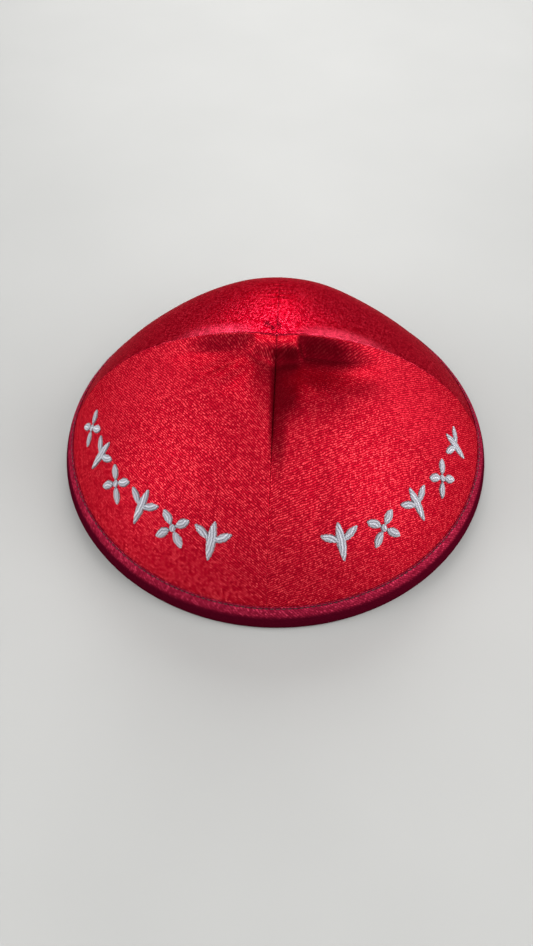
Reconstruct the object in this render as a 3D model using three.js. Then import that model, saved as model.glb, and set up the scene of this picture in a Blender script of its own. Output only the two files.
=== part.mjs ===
// A four-panel skullcap of stiffened satin, standing on its rim.
// Four curved triangles of cloth are sewn together along a front, a back, a left and a right
// seam, which meet at the crown, and a bias tape is folded over the whole rim.
// Lengths are millimetres. The ground is z = 0, the rim's middle is the origin, and the front
// of the cap faces -Y.

import * as THREE from 'three';
import { mergeVertices } from 'three/addons/utils/BufferGeometryUtils.js';

// Driving dimensions of the cap

const RIM_DIAMETER = 165;
const CROWN_HEIGHT = 55.2;
const PANEL_WALL = 1.2;
const TAPE_WALL = 1;
const TAPE_WIDTH = 8.6;
const SEWING_GAP = 0.3;
const FOLD_ROUNDING = 0.7;

// Sizes of the folds and dents that the soft cloth has taken

const RIDGE_HEIGHT = 1.1;
const RIDGE_REACH = 5;
const HOLLOW_DEPTH = 5;
const HOLLOW_WALL = 5.5;
const HOLLOW_RETURN = 9;
const CREASE_DEPTH = 6;
const CREASE_REACH_LEFT = 14;
const CREASE_REACH_RIGHT = 7.5;
const CREASE_BEND = 0.03;
const APRON_REACH = 24;
const APRON_SHARE = 0.25;
const GATHER_DEPTH = 0.9;
const GATHER_WIDTH = 5;
const RIPPLE_DEPTH = 0.7;
const RIPPLE_WIDTH = 7;
const KNOT_HALF_WIDTH = 6.5;
const KNOT_FRONT = 4.6;
const KNOT_SLOPE = 3.4;
const KNOT_HEIGHT = 0.6;

// How finely the cloth is faceted

const STEPS_PER_PANEL = 20;
const STEPS_TO_RIM = 22;
const CROWDING_AT_RIM = 0.5;

// Finishes

const SATIN_COLOUR = 0xbf182a;
const SATIN_ROUGHNESS = 0.45;
const TAPE_COLOUR = 0x6a1024;
const TAPE_ROUGHNESS = 0.5;

// Each seam's profile from crown to rim is height * (1 - share ^ fullness) ^ roundness.
const SEAM_PROFILES = {
  front: { fullness: 2.5, roundness: 0.7 },
  back: { fullness: 2.2, roundness: 0.82 },
  left: { fullness: 2.63, roundness: 0.82 },
  right: { fullness: 2.38, roundness: 0.8 },
};

// The panels are less full beside the side seams, which leaves the side seams as soft edges.
const FLATTENING = { front: 0.1, back: 0.55 };
const FLATTENING_PEAK = 0.385;

// The ridge reaches its full height at this share of the rim's radius.
const RIDGE_START = 0.12;

// The cloth starts to come up again before the wall of the hollow ends.
const RETURN_START = 0.8;

// The hollow under the side seams, in front of the crown. Sides are shares of the rim's radius,
// depths are shares of HOLLOW_DEPTH, and backs are shares of HOLLOW_RETURN, the distance over
// which the cloth comes up again.
const HOLLOW_SECTIONS = [
  { side: -0.5, depth: 0, back: 1 },
  { side: -0.36, depth: 0.3, back: 1.2 },
  { side: -0.25, depth: 0.5, back: 1.5 },
  { side: -0.14, depth: 0.45, back: 1.6 },
  { side: 0, depth: 0.3, back: 1.8 },
  { side: 0.05, depth: 0.9, back: 2.2 },
  { side: 0.12, depth: 1, back: 2.5 },
  { side: 0.2, depth: 1, back: 2.3 },
  { side: 0.3, depth: 0.85, back: 1.9 },
  { side: 0.4, depth: 0.35, back: 1.4 },
  { side: 0.52, depth: 0, back: 1.2 },
];

// The crease along the front seam, from the crown down. Depths are shares of CREASE_DEPTH, and
// reaches are shares of CREASE_REACH_LEFT and CREASE_REACH_RIGHT.
const CREASE_SECTIONS = [
  { down: 0.05, depth: 0, reach: 1 },
  { down: 0.1, depth: 0.9, reach: 1 },
  { down: 0.15, depth: 1, reach: 1 },
  { down: 0.26, depth: 0.92, reach: 1 },
  { down: 0.37, depth: 0.65, reach: 0.85 },
  { down: 0.48, depth: 0.32, reach: 0.6 },
  { down: 0.62, depth: 0, reach: 0.4 },
];
const CREASE_FADE = 1.2;

// Gathers fan out from the crown. The angle turns from the front seam towards the right seam,
// and the two ends are shares of the rim's radius.
const GATHERS = [
  { angle: -36, start: 0.14, end: 0.42, depth: 0.8 },
  { angle: -57, start: 0.14, end: 0.46, depth: 1 },
  { angle: 38, start: 0.2, end: 0.5, depth: 0.8 },
];

// Ripples that run down to the rim, each at a distance beside the front seam, in shares of the
// rim's radius. A negative depth stands out.
const RIPPLES = [
  { side: -0.17, start: 0.5, depth: 1 },
  { side: -0.05, start: 0.6, depth: -0.5 },
  { side: 0.06, start: 0.5, depth: -0.6 },
  { side: 0.19, start: 0.5, depth: 1 },
];
const RIPPLE_RISE = 0.2;

// All folds fade out between these shares of the rim's radius, so that the tape lies level.
const CALM = { start: 0.8, end: 0.94 };

const rimRadius = RIM_DIAMETER / 2;
const panelRadius = rimRadius - TAPE_WALL - SEWING_GAP;
const panelFoot = TAPE_WALL + SEWING_GAP;
const halfGap = SEWING_GAP / 2;

// Smooth helpers

function smooth(low, high, value) {
  const share = THREE.MathUtils.clamp((value - low) / (high - low), 0, 1);
  return share * share * (3 - 2 * share);
}

function bump(distance, width) {
  return Math.exp(-((distance / width) ** 2));
}

// Reads a smooth curve through one column of a table whose rows are in rising order of the key.
function readTable(rows, key, column, value) {
  const last = rows.length - 1;
  const place = THREE.MathUtils.clamp(value, rows[0][key], rows[last][key]);
  let row = 0;
  while (row < last - 1 && place > rows[row + 1][key]) row += 1;
  const slope = (at) => {
    if (at === 0 || at === last) return 0;
    return (rows[at + 1][column] - rows[at - 1][column]) / (rows[at + 1][key] - rows[at - 1][key]);
  };
  const span = rows[row + 1][key] - rows[row][key];
  const share = (place - rows[row][key]) / span;
  const rise = rows[row + 1][column] - rows[row][column];
  const bend = (1 - share) * slope(row) - share * slope(row + 1);
  return rows[row][column] + rise * smooth(0, 1, share) + span * share * (1 - share) * bend;
}

// Height of the smooth dome over a point of the plan, with no folds in it
function domeHeight(x, y) {
  const share = Math.min(Math.hypot(x, y) / panelRadius, 1);
  const azimuth = Math.atan2(y, x);
  const sideShare = Math.cos(azimuth) ** 2;
  const side = x < 0 ? SEAM_PROFILES.left : SEAM_PROFILES.right;
  const end = y < 0 ? SEAM_PROFILES.front : SEAM_PROFILES.back;
  const flattening = y < 0 ? FLATTENING.front : FLATTENING.back;
  const besideSeam = Math.abs(Math.sin(azimuth)) * sideShare / FLATTENING_PEAK;
  const fullness = end.fullness + (side.fullness - end.fullness) * sideShare
    - flattening * besideSeam;
  const roundness = end.roundness + (side.roundness - end.roundness) * sideShare;
  return panelFoot + (CROWN_HEIGHT - panelFoot) * (1 - share ** fullness) ** roundness;
}

// The side seams stand up as a ridge, because their seam allowances are pressed together.
function ridgeRelief(x, y) {
  const along = Math.abs(x) / panelRadius;
  return RIDGE_HEIGHT * smooth(0, RIDGE_START, along) * Math.exp(-Math.abs(y) / RIDGE_REACH);
}

// The front panels fall steeply from the side seams and come up again more slowly.
function hollowDepth(x, y) {
  const depth = readTable(HOLLOW_SECTIONS, 'side', 'depth', x / panelRadius);
  const back = readTable(HOLLOW_SECTIONS, 'side', 'back', x / panelRadius);
  const fall = smooth(0, HOLLOW_WALL, -y);
  const rise = smooth(HOLLOW_WALL * RETURN_START, HOLLOW_WALL + HOLLOW_RETURN * back, -y);
  return HOLLOW_DEPTH * depth * fall * (1 - rise);
}

// The front seam is a crease with a gentle left side. Its right side is steep, with a low apron.
function creaseDepth(x, y) {
  const down = -y / panelRadius;
  const depth = readTable(CREASE_SECTIONS, 'down', 'depth', down);
  const reach = readTable(CREASE_SECTIONS, 'down', 'reach', down);
  if (x < 0) {
    const beside = -x / (CREASE_REACH_LEFT * reach);
    return CREASE_DEPTH * depth * Math.exp(-(beside + beside ** 2) * CREASE_FADE);
  }
  const room = 1 - x / (CREASE_REACH_RIGHT * reach);
  const steep = (room + Math.sqrt(room ** 2 + CREASE_BEND)) / (1 + Math.sqrt(1 + CREASE_BEND));
  const stepped = (1 - APRON_SHARE) * steep + APRON_SHARE * bump(x, APRON_REACH);
  return CREASE_DEPTH * depth * stepped;
}

// Share of the small flat where the four seams cross, which the folds leave standing
function knotShare(x, y) {
  const beside = smooth(0, KNOT_SLOPE, Math.abs(x) - KNOT_HALF_WIDTH);
  const inFront = smooth(0, KNOT_SLOPE, -y - KNOT_FRONT);
  return (1 - beside) * (1 - inFront);
}

// The hollow and the crease overlap without being deeper together than the crease.
function sunkenRelief(x, y) {
  if (y >= 0) return 0;
  const hollow = hollowDepth(x, y);
  const crease = creaseDepth(x, y);
  const both = hollow + crease - hollow * crease / CREASE_DEPTH;
  const knot = knotShare(x, y);
  return KNOT_HEIGHT * knot * smooth(0, KNOT_SLOPE, -y) - both * (1 - knot);
}

function gatherRelief(x, y) {
  let relief = 0;
  for (const gather of GATHERS) {
    const angle = THREE.MathUtils.degToRad(gather.angle);
    const along = x * Math.sin(angle) - y * Math.cos(angle);
    const across = x * Math.cos(angle) + y * Math.sin(angle);
    const share = along / panelRadius;
    const middle = (gather.start + gather.end) / 2;
    const fade = smooth(gather.start, middle, share) * (1 - smooth(middle, gather.end, share));
    relief -= GATHER_DEPTH * gather.depth * fade * bump(across, GATHER_WIDTH / 2);
  }
  return relief;
}

function rippleRelief(x, y) {
  let relief = 0;
  const down = -y / panelRadius;
  for (const ripple of RIPPLES) {
    const fade = smooth(ripple.start, ripple.start + RIPPLE_RISE, down);
    const beside = x - ripple.side * panelRadius;
    relief -= RIPPLE_DEPTH * ripple.depth * fade * bump(beside, RIPPLE_WIDTH / 2);
  }
  return relief;
}

function clothHeight(x, y) {
  const share = Math.hypot(x, y) / panelRadius;
  const relief = ridgeRelief(x, y) + sunkenRelief(x, y) + gatherRelief(x, y) + rippleRelief(x, y);
  return domeHeight(x, y) + relief * (1 - smooth(CALM.start, CALM.end, share));
}

// Outward normal of the cloth, found from the heights close to the point
function clothNormal(x, y) {
  const step = 0.05;
  const inward = 1 - step / panelRadius;
  const u = x * inward;
  const v = y * inward;
  const slopeX = (clothHeight(u + step / 2, v) - clothHeight(u - step / 2, v)) / step;
  const slopeY = (clothHeight(u, v + step / 2) - clothHeight(u, v - step / 2)) / step;
  return new THREE.Vector3(-slopeX, -slopeY, 1).normalize();
}

// Rows of facets lie closer together towards the rim, where the cloth turns down.
function rowShare(step) {
  const share = step / STEPS_TO_RIM;
  return share * (1 + CROWDING_AT_RIM * (1 - share));
}

// Plan point of a panel. The first share turns across the panel and the second runs from the
// crown to the rim. The panel keeps half the sewing gap from both seam planes.
function panelPlan(sideX, sideY, across, down) {
  const azimuth = across * Math.PI / 2;
  const radius = (panelRadius - halfGap) * down;
  return {
    x: sideX * (halfGap + radius * Math.cos(azimuth)),
    y: sideY * (halfGap + radius * Math.sin(azimuth)),
  };
}

// The two faces of the cloth at one place of a panel. The inner face keeps to the seam planes
// along the seams and to the level foot along the rim.
function panelPoint(sideX, sideY, across, down) {
  const { x, y } = panelPlan(sideX, sideY, across, down);
  const outer = new THREE.Vector3(x, y, clothHeight(x, y));
  const inward = clothNormal(x, y).negate();
  if (down === 1) {
    outer.z = panelFoot;
    inward.set(-x, -y, 0);
  }
  if (across === 0) inward.y = 0;
  if (across === 1) inward.x = 0;
  if (down === 0) inward.set(0, 0, -1);
  return { outer, inner: outer.clone().addScaledVector(inward.normalize(), PANEL_WALL) };
}

// Closed mesh of rows of points, each row a closed loop or an open strip of equal length
class SolidBuilder {
  constructor() {
    this.positions = [];
    this.triangles = [];
  }

  point(vector) {
    this.positions.push(vector.x, vector.y, vector.z);
    return this.positions.length / 3 - 1;
  }

  quad(a, b, c, d, flipped) {
    const corners = flipped ? [[a, c, b], [a, d, c]] : [[a, b, c], [a, c, d]];
    this.triangles.push(...corners[0], ...corners[1]);
  }

  mesh(name, colour, roughness) {
    const loose = new THREE.BufferGeometry();
    loose.setAttribute('position', new THREE.Float32BufferAttribute(this.positions, 3));
    loose.setIndex(this.triangles);
    const geometry = dropFlatTriangles(mergeVertices(loose, 1e-4));
    geometry.computeVertexNormals();
    const material = new THREE.MeshStandardMaterial({
      color: colour, roughness, metalness: 0, side: THREE.DoubleSide,
    });
    const mesh = new THREE.Mesh(geometry, material);
    mesh.name = name;
    return mesh;
  }
}

// A row that shrinks to one point leaves triangles with a corner used twice.
function dropFlatTriangles(geometry) {
  const index = geometry.getIndex().array;
  const kept = [];
  for (let start = 0; start < index.length; start += 3) {
    const [a, b, c] = [index[start], index[start + 1], index[start + 2]];
    if (a !== b && b !== c && c !== a) kept.push(a, b, c);
  }
  geometry.setIndex(kept);
  return geometry;
}

// One quarter of the dome: an outer and an inner face, closed along the seams and the rim
function panel(name, sideX, sideY) {
  const solid = new SolidBuilder();
  const flipped = sideX * sideY < 0;
  const outer = [];
  const inner = [];
  for (let down = 0; down <= STEPS_TO_RIM; down += 1) {
    outer.push([]);
    inner.push([]);
    for (let across = 0; across <= STEPS_PER_PANEL; across += 1) {
      const faces = panelPoint(sideX, sideY, across / STEPS_PER_PANEL, rowShare(down));
      outer[down].push(solid.point(faces.outer));
      inner[down].push(solid.point(faces.inner));
    }
  }
  for (let down = 0; down < STEPS_TO_RIM; down += 1) {
    for (let across = 0; across < STEPS_PER_PANEL; across += 1) {
      const loop = [
        [down, across], [down + 1, across], [down + 1, across + 1], [down, across + 1],
      ];
      // The facets are split along the nearer seam, as the folds run.
      if (across < STEPS_PER_PANEL / 2) loop.push(loop.shift());
      solid.quad(...loop.map(([row, column]) => outer[row][column]), flipped);
      solid.quad(...loop.map(([row, column]) => inner[row][column]), !flipped);
    }
    for (const across of [0, STEPS_PER_PANEL]) {
      solid.quad(outer[down][across], inner[down][across], inner[down + 1][across],
        outer[down + 1][across], flipped !== (across > 0));
    }
  }
  const outerRim = outer[STEPS_TO_RIM];
  const innerRim = inner[STEPS_TO_RIM];
  for (let across = 0; across < STEPS_PER_PANEL; across += 1) {
    solid.quad(outerRim[across], innerRim[across], innerRim[across + 1], outerRim[across + 1],
      flipped);
  }
  return solid.mesh(name, SATIN_COLOUR, SATIN_ROUGHNESS);
}

// Places on the dome's meridian at one azimuth, measured along the cloth up from its lower edge.
// Each has a radius and a height, and the outward direction across the cloth.
function meridianPlaces(azimuth, distances) {
  const stride = 0.0005;
  const at = (share) => {
    const radius = panelRadius * share;
    return { radius, height: clothHeight(radius * Math.cos(azimuth), radius * Math.sin(azimuth)) };
  };
  const places = [];
  let here = { radius: panelRadius, height: panelFoot };
  let travelled = 0;
  let share = 1;
  for (const distance of distances) {
    while (travelled < distance) {
      share -= stride;
      const next = at(share);
      travelled += Math.hypot(next.radius - here.radius, next.height - here.height);
      here = next;
    }
    const above = at(share - stride);
    const length = Math.hypot(above.radius - here.radius, above.height - here.height);
    const level = distance === 0;
    places.push({
      radius: here.radius,
      height: here.height,
      out: level ? 1 : (above.height - here.height) / length,
      up: level ? 0 : (here.radius - above.radius) / length,
    });
  }
  return places;
}

// Section of the folded tape at one azimuth, as a closed outline of radii and heights. It runs
// down the outside, under the fold, up the inside, and back through the slot for the cloth.
function tapeSection(azimuth) {
  const [foot, lower, upper, top] = meridianPlaces(
    azimuth, [0, TAPE_WIDTH / 3, TAPE_WIDTH * 2 / 3, TAPE_WIDTH],
  );
  const offset = (place, distance) => [
    place.radius + place.out * distance,
    place.height + place.up * distance,
  ];
  const outFace = SEWING_GAP + TAPE_WALL;
  const inSlot = -PANEL_WALL - SEWING_GAP;
  const inFace = inSlot - TAPE_WALL;
  const innerRadius = foot.radius + inFace;
  return [
    offset(top, outFace),
    offset(upper, outFace),
    offset(lower, outFace),
    offset(foot, outFace),
    [rimRadius - FOLD_ROUNDING / 4, FOLD_ROUNDING / 2],
    [rimRadius - FOLD_ROUNDING, 0],
    [innerRadius + FOLD_ROUNDING, 0],
    [innerRadius + FOLD_ROUNDING / 4, FOLD_ROUNDING / 2],
    offset(foot, inFace),
    offset(lower, inFace),
    offset(upper, inFace),
    offset(top, inFace),
    offset(top, inSlot),
    offset(upper, inSlot),
    offset(lower, inSlot),
    offset(foot, inSlot),
    [foot.radius + inSlot, TAPE_WALL],
    [foot.radius + SEWING_GAP, TAPE_WALL],
    offset(foot, SEWING_GAP),
    offset(lower, SEWING_GAP),
    offset(upper, SEWING_GAP),
    offset(top, SEWING_GAP),
  ];
}

// The tape's sections all round the rim, joined into one ring
function binding(name) {
  const solid = new SolidBuilder();
  const turns = STEPS_PER_PANEL * 4;
  const rows = [];
  for (let turn = 0; turn < turns; turn += 1) {
    const azimuth = turn / turns * Math.PI * 2;
    rows.push(tapeSection(azimuth).map(([radius, height]) => solid.point(
      new THREE.Vector3(radius * Math.cos(azimuth), radius * Math.sin(azimuth), height),
    )));
  }
  for (let turn = 0; turn < turns; turn += 1) {
    const here = rows[turn];
    const next = rows[(turn + 1) % turns];
    for (let corner = 0; corner < here.length; corner += 1) {
      const after = (corner + 1) % here.length;
      solid.quad(here[corner], here[after], next[after], next[corner], false);
    }
  }
  return solid.mesh(name, TAPE_COLOUR, TAPE_ROUGHNESS);
}

const skullcap = new THREE.Group();
skullcap.add(
  panel('panel_front_left', -1, -1),
  panel('panel_front_right', 1, -1),
  panel('panel_back_left', -1, 1),
  panel('panel_back_right', 1, 1),
  binding('rim_binding'),
);

export default skullcap;
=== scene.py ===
# %% [markdown]
# # A four-panel satin skullcap
# This lesson dresses a small sewn cap: four curved triangles of red satin, a burgundy tape
# folded over the rim, and a row of silver thread ornament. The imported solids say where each
# piece lies, so the first step is to load them and keep their box.

# %% Load the fixed frame
import math

import bpy
import numpy as np
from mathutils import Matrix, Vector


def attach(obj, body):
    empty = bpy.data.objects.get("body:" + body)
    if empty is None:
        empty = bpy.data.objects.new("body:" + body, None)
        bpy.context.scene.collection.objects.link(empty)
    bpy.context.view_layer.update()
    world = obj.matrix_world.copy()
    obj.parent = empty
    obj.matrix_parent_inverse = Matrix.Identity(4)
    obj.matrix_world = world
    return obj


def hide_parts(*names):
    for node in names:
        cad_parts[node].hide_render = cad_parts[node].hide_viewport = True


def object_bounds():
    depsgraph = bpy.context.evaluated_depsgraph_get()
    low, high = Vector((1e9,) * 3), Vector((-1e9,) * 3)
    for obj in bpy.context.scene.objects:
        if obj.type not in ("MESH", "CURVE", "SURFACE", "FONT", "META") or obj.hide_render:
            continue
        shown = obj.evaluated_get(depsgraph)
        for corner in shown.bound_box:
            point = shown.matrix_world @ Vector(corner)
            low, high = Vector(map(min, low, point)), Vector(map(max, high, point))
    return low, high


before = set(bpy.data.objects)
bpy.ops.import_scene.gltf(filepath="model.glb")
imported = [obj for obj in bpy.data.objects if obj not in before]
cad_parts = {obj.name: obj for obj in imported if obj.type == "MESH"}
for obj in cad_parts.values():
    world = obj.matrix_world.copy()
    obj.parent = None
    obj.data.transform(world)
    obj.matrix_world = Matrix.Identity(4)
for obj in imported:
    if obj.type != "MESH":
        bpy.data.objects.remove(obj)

cad_low, cad_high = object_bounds()
print("solids:", sorted(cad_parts))

# %% [markdown]
# ## Sizes
# A maker thinks of this cap in millimetres, while Blender works in metres. The outer sizes come
# from the frame. The folds are soft and have no drawing, so each is one named size here.

# %% Sizes of the cap and of its cloth
MM = 0.001
rim_radius = (cad_high.x - cad_low.x) / 2 / MM
TAPE_WALL = 1.0
SEWING_GAP = 0.3
PANEL_WALL = 1.2
CROWN_HEIGHT = 55.2
panel_radius = rim_radius - TAPE_WALL - SEWING_GAP
panel_foot = TAPE_WALL + SEWING_GAP
print(f"rim radius {rim_radius:.1f} mm, satin reaches {panel_radius:.1f} mm")

# %% [markdown]
# ## Camera
# The picture is taken by hand from in front and above, close enough that the far side of the rim
# looks clearly smaller. The rim is a level circle, so its ellipse in the picture gives the
# tilt and the distance. Blender's camera looks along its own -Z, so a tilt of 90 degrees would
# look level.

# %% Camera at the photograph's angle
PICTURE_WIDTH = 533
PICTURE_HEIGHT = 946
FOCAL_PIXELS = 711
SENSOR = 36
CAMERA_PLACE = {"side": -3.5, "back": -180.4, "up": 222.6}
CAMERA_TURN = 2.6
CAMERA_DIP = 53.87
camera_data = bpy.data.cameras.new("camera")
camera_data.sensor_width = SENSOR
camera_data.lens = SENSOR * FOCAL_PIXELS / max(PICTURE_WIDTH, PICTURE_HEIGHT)
camera = bpy.data.objects.new("camera", camera_data)
camera_turn = math.radians(CAMERA_TURN)
camera_side = CAMERA_PLACE["side"] * MM
camera_back = CAMERA_PLACE["back"] * MM
camera.location = (
    camera_side * math.cos(camera_turn) - camera_back * math.sin(camera_turn),
    camera_side * math.sin(camera_turn) + camera_back * math.cos(camera_turn),
    CAMERA_PLACE["up"] * MM,
)
camera.rotation_euler = (math.radians(90 - CAMERA_DIP), 0, camera_turn)
bpy.context.scene.collection.objects.link(camera)
bpy.context.scene.camera = camera
bpy.context.scene.view_settings.view_transform = "Standard"
print(f"camera lens {camera_data.lens:.1f} mm")

# %% [markdown]
# ## The dome
# Each seam is a curve from the crown down to the rim. One formula with two exponents gives a
# full or a flat curve, and blending the exponents round the cap gives the whole dome.
# A lathe would be quicker, but it would make all four seams alike.

# %% Small helpers for curves and tables
def smooth(low, high, value):
    share = np.clip((value - low) / (high - low), 0, 1)
    return share * share * (3 - 2 * share)


def bump(distance, width):
    return np.exp(-((distance / width) ** 2))


def read_table(rows, key, column, value):
    """A smooth curve through one column of a table, read at many places at once."""
    keys = np.array([row[key] for row in rows], float)
    kept = np.array([row[column] for row in rows], float)
    slopes = np.zeros(len(rows))
    slopes[1:-1] = (kept[2:] - kept[:-2]) / (keys[2:] - keys[:-2])
    place = np.clip(value, keys[0], keys[-1])
    at = np.clip(np.searchsorted(keys, place) - 1, 0, len(keys) - 2)
    span = keys[at + 1] - keys[at]
    t = (place - keys[at]) / span
    ends = (1 + 2 * t) * (1 - t) ** 2 * kept[at] + t * t * (3 - 2 * t) * kept[at + 1]
    return ends + span * (t * (1 - t) ** 2 * slopes[at] - t * t * (1 - t) * slopes[at + 1])


# %% Height of the smooth dome
SEAM_PROFILES = {
    "front": {"fullness": 2.5, "roundness": 0.7},
    "back": {"fullness": 2.2, "roundness": 0.82},
    "left": {"fullness": 2.63, "roundness": 0.82},
    "right": {"fullness": 2.38, "roundness": 0.8},
}
FLATTENING = {"front": 0.1, "back": 0.55}
FLATTENING_PEAK = 0.385


def dome_height(x, y):
    share = np.minimum(np.hypot(x, y) / panel_radius, 1)
    azimuth = np.arctan2(y, x)
    side_share = np.cos(azimuth) ** 2
    exponents = {}
    for name in ("fullness", "roundness"):
        side = np.where(x < 0, SEAM_PROFILES["left"][name], SEAM_PROFILES["right"][name])
        end = np.where(y < 0, SEAM_PROFILES["front"][name], SEAM_PROFILES["back"][name])
        exponents[name] = end + (side - end) * side_share
    flattening = np.where(y < 0, FLATTENING["front"], FLATTENING["back"])
    beside_seam = np.abs(np.sin(azimuth)) * side_share / FLATTENING_PEAK
    fullness = exponents["fullness"] - flattening * beside_seam
    rise = CROWN_HEIGHT - panel_foot
    return panel_foot + rise * (1 - share**fullness) ** exponents["roundness"]


print(f"side of the dome at half radius: {dome_height(panel_radius / 2, 0.0):.1f} mm high")

# %% [markdown]
# ## Folds
# Satin over a thin stiffener keeps the marks of how the cap was stored. The side seams stand up
# as a ridge, the front panels sink in under it, and the front seam is a crease that is steep on
# its right side. Each is a small height added to the dome, so all of them can overlap.

# %% Sizes and tables of the folds
RIDGE_HEIGHT = 1.1
RIDGE_REACH = 5
HOLLOW_DEPTH = 5
HOLLOW_WALL = 5.5
HOLLOW_RETURN = 9
CREASE_DEPTH = 6
CREASE_REACH_LEFT = 14
CREASE_REACH_RIGHT = 7.5
APRON_REACH = 24
APRON_SHARE = 0.25
GATHER_DEPTH = 0.9
GATHER_WIDTH = 5
RIPPLE_DEPTH = 0.7
RIPPLE_WIDTH = 7
KNOT_HALF_WIDTH = 6.5
KNOT_FRONT = 4.6
KNOT_SLOPE = 3.4
KNOT_HEIGHT = 0.6
RIDGE_START = 0.12
RETURN_START = 0.8
CREASE_FADE = 1.2
CREASE_BEND = 0.03
RIPPLE_RISE = 0.2

HOLLOW_SECTIONS = [
    {"side": -0.5, "depth": 0, "back": 1},
    {"side": -0.36, "depth": 0.3, "back": 1.2},
    {"side": -0.25, "depth": 0.5, "back": 1.5},
    {"side": -0.14, "depth": 0.45, "back": 1.6},
    {"side": 0, "depth": 0.3, "back": 1.8},
    {"side": 0.05, "depth": 0.9, "back": 2.2},
    {"side": 0.12, "depth": 1, "back": 2.5},
    {"side": 0.2, "depth": 1, "back": 2.3},
    {"side": 0.3, "depth": 0.85, "back": 1.9},
    {"side": 0.4, "depth": 0.35, "back": 1.4},
    {"side": 0.52, "depth": 0, "back": 1.2},
]
CREASE_SECTIONS = [
    {"down": 0.05, "depth": 0, "reach": 1},
    {"down": 0.1, "depth": 0.9, "reach": 1},
    {"down": 0.15, "depth": 1, "reach": 1},
    {"down": 0.26, "depth": 0.92, "reach": 1},
    {"down": 0.37, "depth": 0.65, "reach": 0.85},
    {"down": 0.48, "depth": 0.32, "reach": 0.6},
    {"down": 0.62, "depth": 0, "reach": 0.4},
]
GATHERS = [
    {"angle": -36, "start": 0.14, "end": 0.42, "depth": 0.8},
    {"angle": -57, "start": 0.14, "end": 0.46, "depth": 1},
    {"angle": 38, "start": 0.2, "end": 0.5, "depth": 0.8},
]
RIPPLES = [
    {"side": -0.17, "start": 0.5, "depth": 1},
    {"side": -0.05, "start": 0.6, "depth": -0.5},
    {"side": 0.06, "start": 0.5, "depth": -0.6},
    {"side": 0.19, "start": 0.5, "depth": 1},
]


# %% Heights of the folds
def ridge_relief(x, y):
    along = np.abs(x) / panel_radius
    return RIDGE_HEIGHT * smooth(0, RIDGE_START, along) * np.exp(-np.abs(y) / RIDGE_REACH)


def hollow_depth(x, y):
    """A steep wall down from the ridge, and a slower slope up again in front of it."""
    depth = read_table(HOLLOW_SECTIONS, "side", "depth", x / panel_radius)
    back = read_table(HOLLOW_SECTIONS, "side", "back", x / panel_radius)
    fall = smooth(0, HOLLOW_WALL, -y)
    rise = smooth(HOLLOW_WALL * RETURN_START, HOLLOW_WALL + HOLLOW_RETURN * back, -y)
    return HOLLOW_DEPTH * depth * fall * (1 - rise)


def crease_depth(x, y):
    """A gentle slope on the left of the seam, a steep one with a low apron on its right."""
    down = -y / panel_radius
    depth = read_table(CREASE_SECTIONS, "down", "depth", down)
    reach = read_table(CREASE_SECTIONS, "down", "reach", down)
    left = np.abs(x) / (CREASE_REACH_LEFT * reach)
    gentle = np.exp(-(left + left**2) * CREASE_FADE)
    room = 1 - np.abs(x) / (CREASE_REACH_RIGHT * reach)
    steep = (room + np.sqrt(room**2 + CREASE_BEND)) / (1 + math.sqrt(1 + CREASE_BEND))
    stepped = (1 - APRON_SHARE) * steep + APRON_SHARE * bump(x, APRON_REACH)
    return CREASE_DEPTH * depth * np.where(x < 0, gentle, stepped)


def knot_share(x, y):
    """1 on the small flat where the four seams cross, which the folds leave standing."""
    beside = smooth(0, KNOT_SLOPE, np.abs(x) - KNOT_HALF_WIDTH)
    in_front = smooth(0, KNOT_SLOPE, -y - KNOT_FRONT)
    return (1 - beside) * (1 - in_front)


def sunken_relief(x, y):
    """The hollow and the crease together are never deeper than the crease."""
    hollow = hollow_depth(x, y)
    crease = crease_depth(x, y)
    both = hollow + crease - hollow * crease / CREASE_DEPTH
    knot = np.where(y < 0, knot_share(x, y), 0)
    return KNOT_HEIGHT * knot * smooth(0, KNOT_SLOPE, -y) - both * (1 - knot)


def gather_relief(x, y):
    relief = 0 * x
    for gather in GATHERS:
        angle = math.radians(gather["angle"])
        along = x * math.sin(angle) - y * math.cos(angle)
        across = x * math.cos(angle) + y * math.sin(angle)
        share = along / panel_radius
        middle = (gather["start"] + gather["end"]) / 2
        fade = smooth(gather["start"], middle, share) * (1 - smooth(middle, gather["end"], share))
        relief = relief - GATHER_DEPTH * gather["depth"] * fade * bump(across, GATHER_WIDTH / 2)
    return relief


def ripple_relief(x, y):
    relief = 0 * x
    for ripple in RIPPLES:
        fade = smooth(ripple["start"], ripple["start"] + RIPPLE_RISE, -y / panel_radius)
        beside = x - ripple["side"] * panel_radius
        relief = relief - RIPPLE_DEPTH * ripple["depth"] * fade * bump(beside, RIPPLE_WIDTH / 2)
    return relief


FOLDS = (ridge_relief, sunken_relief, gather_relief, ripple_relief)
print("kinds of fold:", len(FOLDS))
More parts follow.
